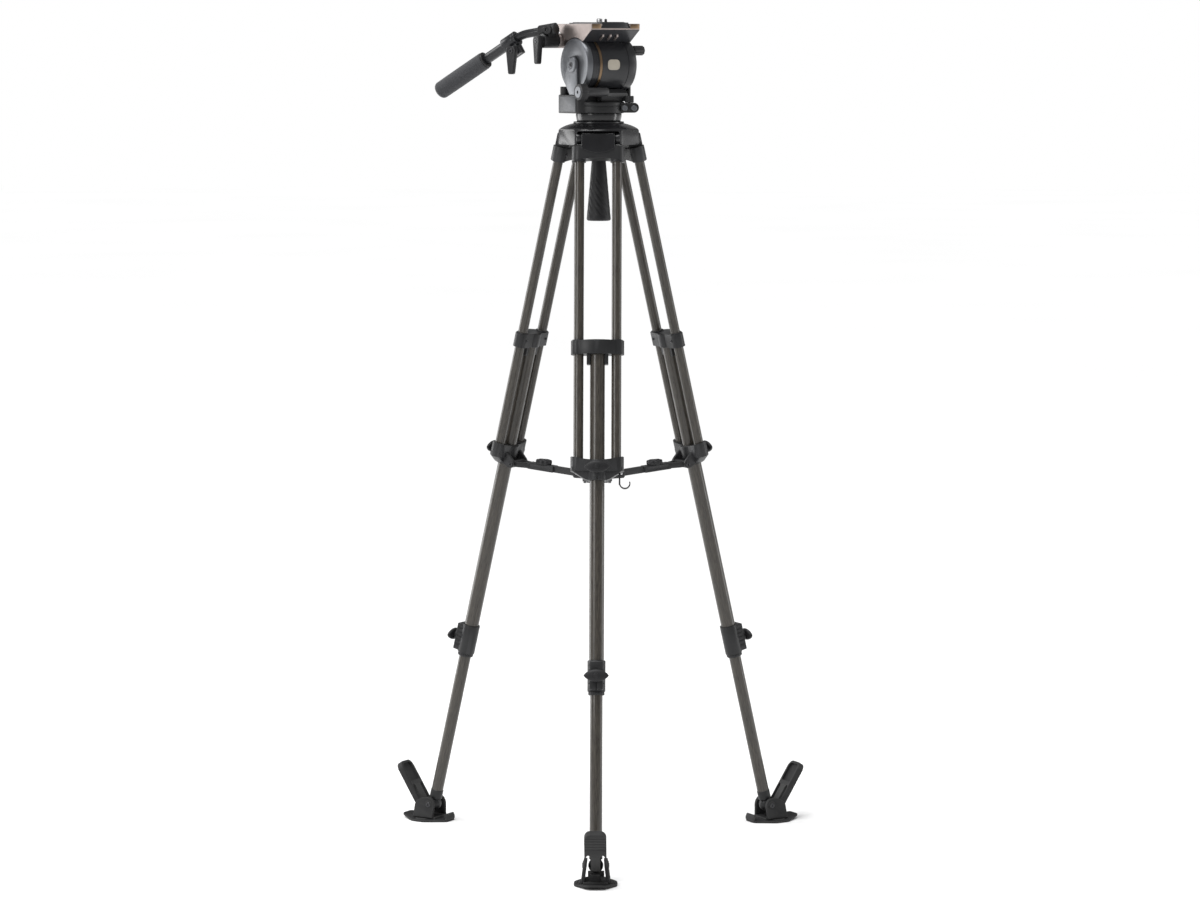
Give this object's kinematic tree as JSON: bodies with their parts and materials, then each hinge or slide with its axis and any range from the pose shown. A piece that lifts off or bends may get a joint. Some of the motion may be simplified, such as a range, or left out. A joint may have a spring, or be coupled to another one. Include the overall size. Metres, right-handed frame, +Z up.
{
  "type": "video tripod with fluid head",
  "caption": "Fluid video head with pan bar and sliding camera plate on a three-stage twin-tube carbon tripod with mid-level spreader and rubber feet.",
  "frame": {"origin": "on the floor, at the middle of the footprint (the bounding box bottom centre); the tripod axis stands 90.2 mm behind it, along +Y", "axes": "+Z up, -Y along the front leg towards the viewer, +X to the viewer's right"},
  "size_m": [0.7006, 0.6094, 1.365],
  "materials": {
    "carbon_tube": "satin woven tube",
    "black_casting": "fine textured coat",
    "black_plastic": "moulded matte",
    "black_rubber": "dull moulded",
    "satin_black": "satin anodised",
    "champagne_metal": "satin anodised",
    "steel": "bright",
    "grip_foam": "open foam"
  },
  "bodies": {
    "root": {"crown": "black_casting"},
    "front_leg": {"front_leg_top_fitting": "black_casting", "front_upper_tube_a": "carbon_tube", "front_upper_tube_b": "carbon_tube", "front_lower_bracket": "black_casting"},
    "front_bracket_knob": {"front_bracket_knob": "black_plastic"},
    "front_mid_stage": {"front_slider": "black_casting", "front_mid_tube": "carbon_tube", "front_collar": "black_casting"},
    "front_collar_knob": {"front_collar_knob": "black_plastic"},
    "front_lower_stage": {"front_lower_tube": "carbon_tube"},
    "front_foot": {"front_foot": "black_rubber"},
    "front_spreader_arm": {"front_spreader_arm": "black_casting"},
    "front_arm_knob": {"front_arm_knob": "black_plastic"},
    "left_leg": {"left_leg_top_fitting": "black_casting", "left_upper_tube_a": "carbon_tube", "left_upper_tube_b": "carbon_tube", "left_lower_bracket": "black_casting"},
    "left_bracket_knob": {"left_bracket_knob": "black_plastic"},
    "left_mid_stage": {"left_slider": "black_casting", "left_mid_tube": "carbon_tube", "left_collar": "black_casting"},
    "left_collar_knob": {"left_collar_knob": "black_plastic"},
    "left_lower_stage": {"left_lower_tube": "carbon_tube"},
    "left_foot": {"left_foot": "black_rubber"},
    "left_spreader_arm": {"left_spreader_arm": "black_casting"},
    "left_arm_knob": {"left_arm_knob": "black_plastic"},
    "right_leg": {"right_leg_top_fitting": "black_casting", "right_upper_tube_a": "carbon_tube", "right_upper_tube_b": "carbon_tube", "right_lower_bracket": "black_casting"},
    "right_bracket_knob": {"right_bracket_knob": "black_plastic"},
    "right_mid_stage": {"right_slider": "black_casting", "right_mid_tube": "carbon_tube", "right_collar": "black_casting"},
    "right_collar_knob": {"right_collar_knob": "black_plastic"},
    "right_lower_stage": {"right_lower_tube": "carbon_tube"},
    "right_foot": {"right_foot": "black_rubber"},
    "right_spreader_arm": {"right_spreader_arm": "black_casting"},
    "right_arm_knob": {"right_arm_knob": "black_plastic"},
    "spreader_hub": {"spreader_hub": "black_casting"},
    "level_ball": {"half_ball": "satin_black"},
    "tie_down_handle": {"tie_down_handle": "black_rubber"},
    "pan_body": {"pan_base": "black_casting", "yoke": "black_casting"},
    "pan_lock": {"pan_lock_knob": "black_plastic"},
    "drag_knob": {"drag_knob": "black_plastic"},
    "tilt_body": {"tilt_drum": "satin_black", "drum_cap": "black_casting", "platform": "champagne_metal"},
    "tilt_lock": {"tilt_lock_knob": "black_plastic"},
    "camera_plate": {"camera_plate": "satin_black"},
    "camera_screw": {"camera_screw": "steel"},
    "plate_lock": {"plate_lock_lever": "black_plastic"},
    "pan_bar": {"pan_bar_clamp": "black_casting", "pan_bar_rod": "satin_black"},
    "upper_clamp_lever": {"upper_clamp_lever": "black_plastic"},
    "pan_bar_tube": {"pan_bar_tube": "satin_black", "pan_bar_grip": "grip_foam"},
    "lower_clamp_lever": {"lower_clamp_lever": "black_plastic"}
  },
  "joints": [
    {"name": "legs_fold", "type": "hinge", "parent": "root", "child": "front_leg", "pos_m": [0, 0.0429, 1.17], "axis": [1, 0, 0], "range_deg": [0, 10.2]},
    {"name": "front_mid_slide", "type": "slide", "parent": "front_leg", "child": "front_mid_stage", "axis": [0, -0.2368, -0.9715], "range_m": [-0.27, 0.145]},
    {"name": "front_lower_slide", "type": "slide", "parent": "front_mid_stage", "child": "front_lower_stage", "axis": [0, -0.2368, -0.9715], "range_m": [-0.225, 0.14]},
    {"name": "front_foot_tilt", "type": "hinge", "parent": "front_lower_stage", "child": "front_foot", "pos_m": [0, -0.23539, 0.02843], "axis": [-1, 0, 0], "range_deg": [-15, 15]},
    {"name": "front_bracket_knob_turn", "type": "hinge", "parent": "front_leg", "child": "front_bracket_knob", "pos_m": [0, -0.08523, 0.64439], "axis": [0, -0.9715, 0.2368], "range_deg": [0, 180]},
    {"name": "front_collar_knob_turn", "type": "hinge", "parent": "front_mid_stage", "child": "front_collar_knob", "pos_m": [0, -0.16457, 0.31892], "axis": [0, -0.9715, 0.2368], "range_deg": [0, 180]},
    {"name": "front_arm_fold", "type": "hinge", "parent": "front_leg", "child": "front_spreader_arm", "pos_m": [0, -0.06523, 0.62511], "axis": [1, 0, 0], "range_deg": [0, 74.63]},
    {"name": "front_arm_knob_turn", "type": "hinge", "parent": "front_spreader_arm", "child": "front_arm_knob", "pos_m": [0, -0.01441, 0.62083], "axis": [0, 0.0838, 0.9965], "range_deg": [0, 180]},
    {"name": "left_leg_fold", "type": "hinge", "parent": "root", "child": "left_leg", "pos_m": [-0.0433, 0.1179, 1.17], "axis": [-0.5, -0.866, 0], "range_deg": [0, 10.2]},
    {"name": "left_mid_slide", "type": "slide", "parent": "left_leg", "child": "left_mid_stage", "axis": [-0.2051, 0.1184, -0.9715], "range_m": [-0.27, 0.145]},
    {"name": "left_lower_slide", "type": "slide", "parent": "left_mid_stage", "child": "left_lower_stage", "axis": [-0.2051, 0.1184, -0.9715], "range_m": [-0.225, 0.14]},
    {"name": "left_foot_tilt", "type": "hinge", "parent": "left_lower_stage", "child": "left_foot", "pos_m": [-0.2843, 0.25704, 0.02843], "axis": [0.5, 0.866, 0], "range_deg": [-15, 15]},
    {"name": "left_bracket_knob_turn", "type": "hinge", "parent": "left_leg", "child": "left_bracket_knob", "pos_m": [-0.15427, 0.18196, 0.64439], "axis": [-0.8414, 0.4858, 0.2368], "range_deg": [0, 180]},
    {"name": "left_collar_knob_turn", "type": "hinge", "parent": "left_mid_stage", "child": "left_collar_knob", "pos_m": [-0.22298, 0.22163, 0.31892], "axis": [-0.8414, 0.4858, 0.2368], "range_deg": [0, 180]},
    {"name": "left_arm_fold", "type": "hinge", "parent": "left_leg", "child": "left_spreader_arm", "pos_m": [-0.13694, 0.17196, 0.62511], "axis": [-0.5, -0.866, 0], "range_deg": [0, 74.63]},
    {"name": "left_arm_knob_turn", "type": "hinge", "parent": "left_spreader_arm", "child": "left_arm_knob", "pos_m": [-0.09293, 0.14655, 0.62083], "axis": [0.0726, -0.0419, 0.9965], "range_deg": [0, 180]},
    {"name": "right_leg_fold", "type": "hinge", "parent": "root", "child": "right_leg", "pos_m": [0.0433, 0.1179, 1.17], "axis": [-0.5, 0.866, 0], "range_deg": [0, 10.2]},
    {"name": "right_mid_slide", "type": "slide", "parent": "right_leg", "child": "right_mid_stage", "axis": [0.2051, 0.1184, -0.9715], "range_m": [-0.27, 0.145]},
    {"name": "right_lower_slide", "type": "slide", "parent": "right_mid_stage", "child": "right_lower_stage", "axis": [0.2051, 0.1184, -0.9715], "range_m": [-0.225, 0.14]},
    {"name": "right_foot_tilt", "type": "hinge", "parent": "right_lower_stage", "child": "right_foot", "pos_m": [0.2843, 0.25704, 0.02843], "axis": [0.5, -0.866, 0], "range_deg": [-15, 15]},
    {"name": "right_bracket_knob_turn", "type": "hinge", "parent": "right_leg", "child": "right_bracket_knob", "pos_m": [0.15427, 0.18196, 0.64439], "axis": [0.8414, 0.4858, 0.2368], "range_deg": [0, 180]},
    {"name": "right_collar_knob_turn", "type": "hinge", "parent": "right_mid_stage", "child": "right_collar_knob", "pos_m": [0.22298, 0.22163, 0.31892], "axis": [0.8414, 0.4858, 0.2368], "range_deg": [0, 180]},
    {"name": "right_arm_fold", "type": "hinge", "parent": "right_leg", "child": "right_spreader_arm", "pos_m": [0.13694, 0.17196, 0.62511], "axis": [-0.5, 0.866, 0], "range_deg": [0, 74.63]},
    {"name": "right_arm_knob_turn", "type": "hinge", "parent": "right_spreader_arm", "child": "right_arm_knob", "pos_m": [0.09293, 0.14655, 0.62083], "axis": [-0.0726, -0.0419, 0.9965], "range_deg": [0, 180]},
    {"name": "hub_rise", "type": "slide", "parent": "root", "child": "spreader_hub", "axis": [0, 0, 1], "range_m": [0, 0.11911]},
    {"name": "ball_level", "type": "hinge", "parent": "root", "child": "level_ball", "pos_m": [0, 0.0929, 1.209], "axis": [-0.8339, -0.5519, 0], "range_deg": [-10, 10]},
    {"name": "tie_down_turn", "type": "hinge", "parent": "level_ball", "child": "tie_down_handle", "pos_m": [0, 0.0929, 1.08], "axis": [0, 0, 1], "continuous": true},
    {"name": "pan", "type": "hinge", "parent": "level_ball", "child": "pan_body", "pos_m": [0, 0.0929, 1.226], "axis": [0, 0, 1], "continuous": true},
    {"name": "pan_lock_turn", "type": "hinge", "parent": "pan_body", "child": "pan_lock", "pos_m": [0.05, 0.0799, 1.234], "axis": [0, 0, 1], "range_deg": [0, 180]},
    {"name": "drag_turn", "type": "hinge", "parent": "pan_body", "child": "drag_knob", "pos_m": [-0.02657, 0.02615, 1.246], "axis": [-0.8339, -0.5519, 0], "continuous": true},
    {"name": "tilt", "type": "hinge", "parent": "pan_body", "child": "tilt_body", "pos_m": [0, 0.0929, 1.29], "axis": [-0.8339, -0.5519, 0], "range_deg": [-70, 60]},
    {"name": "tilt_lock_turn", "type": "hinge", "parent": "tilt_body", "child": "tilt_lock", "pos_m": [0.05666, 0.11601, 1.313], "axis": [-0.8339, -0.5519, 0], "range_deg": [0, 180]},
    {"name": "plate_slide", "type": "slide", "parent": "tilt_body", "child": "camera_plate", "axis": [0.5519, -0.8339, 0], "range_m": [-0.025, 0.025]},
    {"name": "camera_screw_turn", "type": "hinge", "parent": "camera_plate", "child": "camera_screw", "pos_m": [0.0011, 0.09123, 1.356], "axis": [0, 0, 1], "continuous": true},
    {"name": "plate_lock_turn", "type": "hinge", "parent": "tilt_body", "child": "plate_lock", "pos_m": [0.03507, 0.1305, 1.3515], "axis": [-0.8339, -0.5519, 0], "range_deg": [-50, 0]},
    {"name": "pan_bar_angle", "type": "hinge", "parent": "tilt_body", "child": "pan_bar", "pos_m": [-0.07708, 0.10064, 1.329], "axis": [-0.8339, -0.5519, 0], "range_deg": [-40, 40]},
    {"name": "upper_clamp_turn", "type": "hinge", "parent": "pan_bar", "child": "upper_clamp_lever", "pos_m": [-0.09792, 0.08685, 1.329], "axis": [-0.8339, -0.5519, 0], "range_deg": [-8, 60]},
    {"name": "pan_bar_extend", "type": "slide", "parent": "pan_bar", "child": "pan_bar_tube", "axis": [-0.7601, 0.4058, -0.5075], "range_m": [0, 0.09]},
    {"name": "lower_clamp_turn", "type": "hinge", "parent": "pan_bar_tube", "child": "lower_clamp_lever", "pos_m": [-0.14071, 0.11541, 1.31225], "axis": [0.471, 0.8821, 0], "range_deg": [-60, 60]}
  ],
  "couplings": [
    {"joint": "front_arm_fold", "follows": "legs_fold", "ratio": 7.2676},
    {"joint": "left_leg_fold", "follows": "legs_fold", "ratio": 1},
    {"joint": "left_arm_fold", "follows": "legs_fold", "ratio": 7.2676},
    {"joint": "right_leg_fold", "follows": "legs_fold", "ratio": 1},
    {"joint": "right_arm_fold", "follows": "legs_fold", "ratio": 7.2676},
    {"joint": "hub_rise", "follows": "legs_fold", "m_per_rad": 0.66346}
  ]
}
